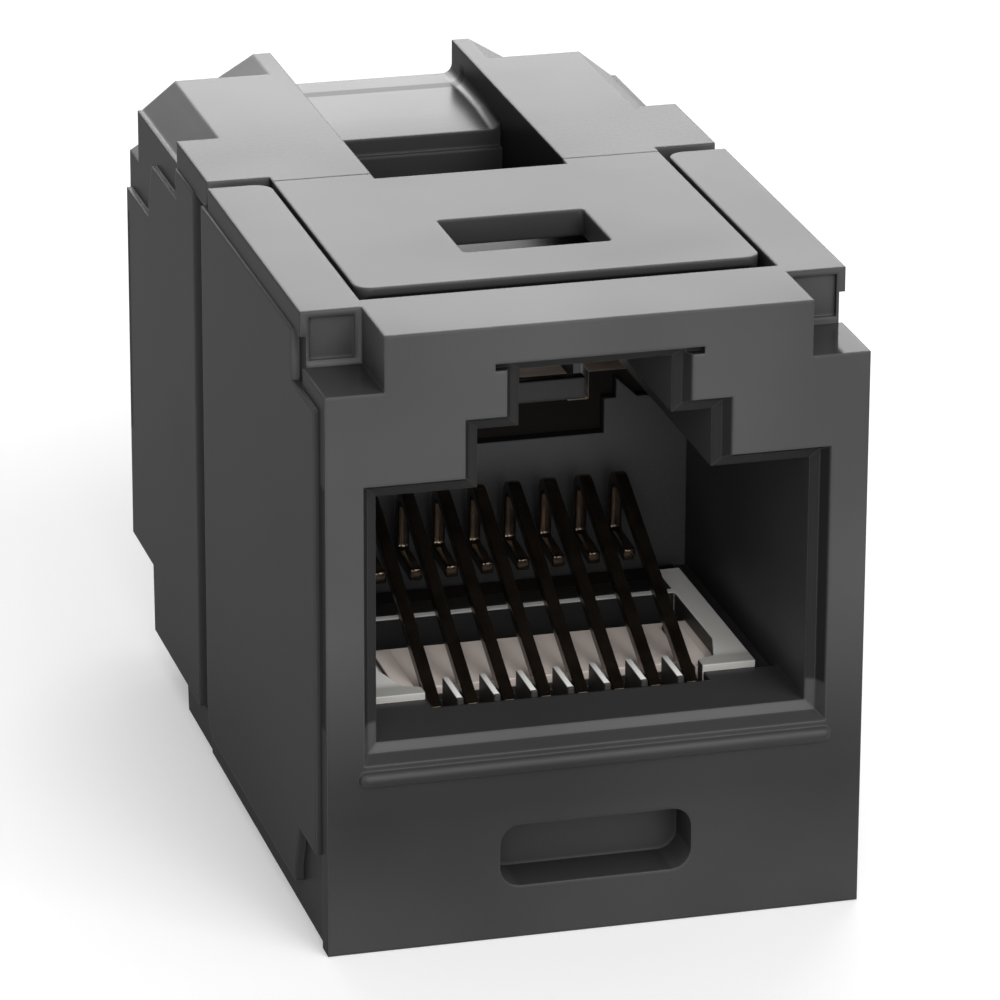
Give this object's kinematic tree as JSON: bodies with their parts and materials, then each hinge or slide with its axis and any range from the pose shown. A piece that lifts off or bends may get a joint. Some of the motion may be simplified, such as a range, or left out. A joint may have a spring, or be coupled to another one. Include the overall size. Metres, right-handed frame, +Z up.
{
  "type": "ethernet keystone coupler",
  "caption": "In-line modular jack coupler in a black two-part housing, with a port at each end and a flat press latch on top that holds it in a panel opening.",
  "frame": {"origin": "middle of the bottom of the whole part, ridge and rear crest included", "axes": "+Y from the front port to the rear port, +Z up through the latch plate, +X to the right seen from the front"},
  "size_m": [0.0148, 0.0258, 0.0171],
  "materials": {
    "housing_plastic": "satin black moulded plastic",
    "sled_plastic": "light grey moulded plastic",
    "contact_metal": "gold-plated bronze wire",
    "board_laminate": "glass-fibre board"
  },
  "bodies": {
    "root": {"front_housing": "housing_plastic", "rear_housing": "housing_plastic", "circuit_board": "board_laminate", "front_contact_sled": "sled_plastic", "rear_contact_sled": "sled_plastic", "front_leads": "contact_metal", "rear_leads": "contact_metal"},
    "latch": {"latch_plate": "housing_plastic"},
    "front_contact_1": {"front_contact_1": "contact_metal"},
    "front_contact_2": {"front_contact_2": "contact_metal"},
    "front_contact_3": {"front_contact_3": "contact_metal"},
    "front_contact_4": {"front_contact_4": "contact_metal"},
    "front_contact_5": {"front_contact_5": "contact_metal"},
    "front_contact_6": {"front_contact_6": "contact_metal"},
    "front_contact_7": {"front_contact_7": "contact_metal"},
    "front_contact_8": {"front_contact_8": "contact_metal"},
    "rear_contact_1": {"rear_contact_1": "contact_metal"},
    "rear_contact_2": {"rear_contact_2": "contact_metal"},
    "rear_contact_3": {"rear_contact_3": "contact_metal"},
    "rear_contact_4": {"rear_contact_4": "contact_metal"},
    "rear_contact_5": {"rear_contact_5": "contact_metal"},
    "rear_contact_6": {"rear_contact_6": "contact_metal"},
    "rear_contact_7": {"rear_contact_7": "contact_metal"},
    "rear_contact_8": {"rear_contact_8": "contact_metal"}
  },
  "joints": [
    {"name": "latch_press", "type": "hinge", "parent": "root", "child": "latch", "pos_m": [0, 0.00076, 0.0171], "axis": [1, 0, 0], "range_deg": [0, 4.5], "stiffness_Nm_per_rad": 0.5},
    {"name": "front_contact_1_flex", "type": "hinge", "parent": "root", "child": "front_contact_1", "pos_m": [-0.00356, -0.00964, 0.0052], "axis": [-1, 0, 0], "range_deg": [0, 8], "stiffness_Nm_per_rad": 0.05},
    {"name": "front_contact_2_flex", "type": "hinge", "parent": "root", "child": "front_contact_2", "pos_m": [-0.00254, -0.00964, 0.0052], "axis": [-1, 0, 0], "range_deg": [0, 8], "stiffness_Nm_per_rad": 0.05},
    {"name": "front_contact_3_flex", "type": "hinge", "parent": "root", "child": "front_contact_3", "pos_m": [-0.00152, -0.00964, 0.0052], "axis": [-1, 0, 0], "range_deg": [0, 8], "stiffness_Nm_per_rad": 0.05},
    {"name": "front_contact_4_flex", "type": "hinge", "parent": "root", "child": "front_contact_4", "pos_m": [-0.00051, -0.00964, 0.0052], "axis": [-1, 0, 0], "range_deg": [0, 8], "stiffness_Nm_per_rad": 0.05},
    {"name": "front_contact_5_flex", "type": "hinge", "parent": "root", "child": "front_contact_5", "pos_m": [0.00051, -0.00964, 0.0052], "axis": [-1, 0, 0], "range_deg": [0, 8], "stiffness_Nm_per_rad": 0.05},
    {"name": "front_contact_6_flex", "type": "hinge", "parent": "root", "child": "front_contact_6", "pos_m": [0.00152, -0.00964, 0.0052], "axis": [-1, 0, 0], "range_deg": [0, 8], "stiffness_Nm_per_rad": 0.05},
    {"name": "front_contact_7_flex", "type": "hinge", "parent": "root", "child": "front_contact_7", "pos_m": [0.00254, -0.00964, 0.0052], "axis": [-1, 0, 0], "range_deg": [0, 8], "stiffness_Nm_per_rad": 0.05},
    {"name": "front_contact_8_flex", "type": "hinge", "parent": "root", "child": "front_contact_8", "pos_m": [0.00356, -0.00964, 0.0052], "axis": [-1, 0, 0], "range_deg": [0, 8], "stiffness_Nm_per_rad": 0.05},
    {"name": "rear_contact_1_flex", "type": "hinge", "parent": "root", "child": "rear_contact_1", "pos_m": [0.00356, 0.00896, 0.0052], "axis": [1, 0, 0], "range_deg": [0, 8], "stiffness_Nm_per_rad": 0.05},
    {"name": "rear_contact_2_flex", "type": "hinge", "parent": "root", "child": "rear_contact_2", "pos_m": [0.00254, 0.00896, 0.0052], "axis": [1, 0, 0], "range_deg": [0, 8], "stiffness_Nm_per_rad": 0.05},
    {"name": "rear_contact_3_flex", "type": "hinge", "parent": "root", "child": "rear_contact_3", "pos_m": [0.00152, 0.00896, 0.0052], "axis": [1, 0, 0], "range_deg": [0, 8], "stiffness_Nm_per_rad": 0.05},
    {"name": "rear_contact_4_flex", "type": "hinge", "parent": "root", "child": "rear_contact_4", "pos_m": [0.00051, 0.00896, 0.0052], "axis": [1, 0, 0], "range_deg": [0, 8], "stiffness_Nm_per_rad": 0.05},
    {"name": "rear_contact_5_flex", "type": "hinge", "parent": "root", "child": "rear_contact_5", "pos_m": [-0.00051, 0.00896, 0.0052], "axis": [1, 0, 0], "range_deg": [0, 8], "stiffness_Nm_per_rad": 0.05},
    {"name": "rear_contact_6_flex", "type": "hinge", "parent": "root", "child": "rear_contact_6", "pos_m": [-0.00152, 0.00896, 0.0052], "axis": [1, 0, 0], "range_deg": [0, 8], "stiffness_Nm_per_rad": 0.05},
    {"name": "rear_contact_7_flex", "type": "hinge", "parent": "root", "child": "rear_contact_7", "pos_m": [-0.00254, 0.00896, 0.0052], "axis": [1, 0, 0], "range_deg": [0, 8], "stiffness_Nm_per_rad": 0.05},
    {"name": "rear_contact_8_flex", "type": "hinge", "parent": "root", "child": "rear_contact_8", "pos_m": [-0.00356, 0.00896, 0.0052], "axis": [1, 0, 0], "range_deg": [0, 8], "stiffness_Nm_per_rad": 0.05}
  ],
  "couplings": [
    {"joint": "front_contact_2_flex", "follows": "front_contact_1_flex", "ratio": 1},
    {"joint": "front_contact_3_flex", "follows": "front_contact_1_flex", "ratio": 1},
    {"joint": "front_contact_4_flex", "follows": "front_contact_1_flex", "ratio": 1},
    {"joint": "front_contact_5_flex", "follows": "front_contact_1_flex", "ratio": 1},
    {"joint": "front_contact_6_flex", "follows": "front_contact_1_flex", "ratio": 1},
    {"joint": "front_contact_7_flex", "follows": "front_contact_1_flex", "ratio": 1},
    {"joint": "front_contact_8_flex", "follows": "front_contact_1_flex", "ratio": 1},
    {"joint": "rear_contact_2_flex", "follows": "rear_contact_1_flex", "ratio": 1},
    {"joint": "rear_contact_3_flex", "follows": "rear_contact_1_flex", "ratio": 1},
    {"joint": "rear_contact_4_flex", "follows": "rear_contact_1_flex", "ratio": 1},
    {"joint": "rear_contact_5_flex", "follows": "rear_contact_1_flex", "ratio": 1},
    {"joint": "rear_contact_6_flex", "follows": "rear_contact_1_flex", "ratio": 1},
    {"joint": "rear_contact_7_flex", "follows": "rear_contact_1_flex", "ratio": 1},
    {"joint": "rear_contact_8_flex", "follows": "rear_contact_1_flex", "ratio": 1}
  ]
}
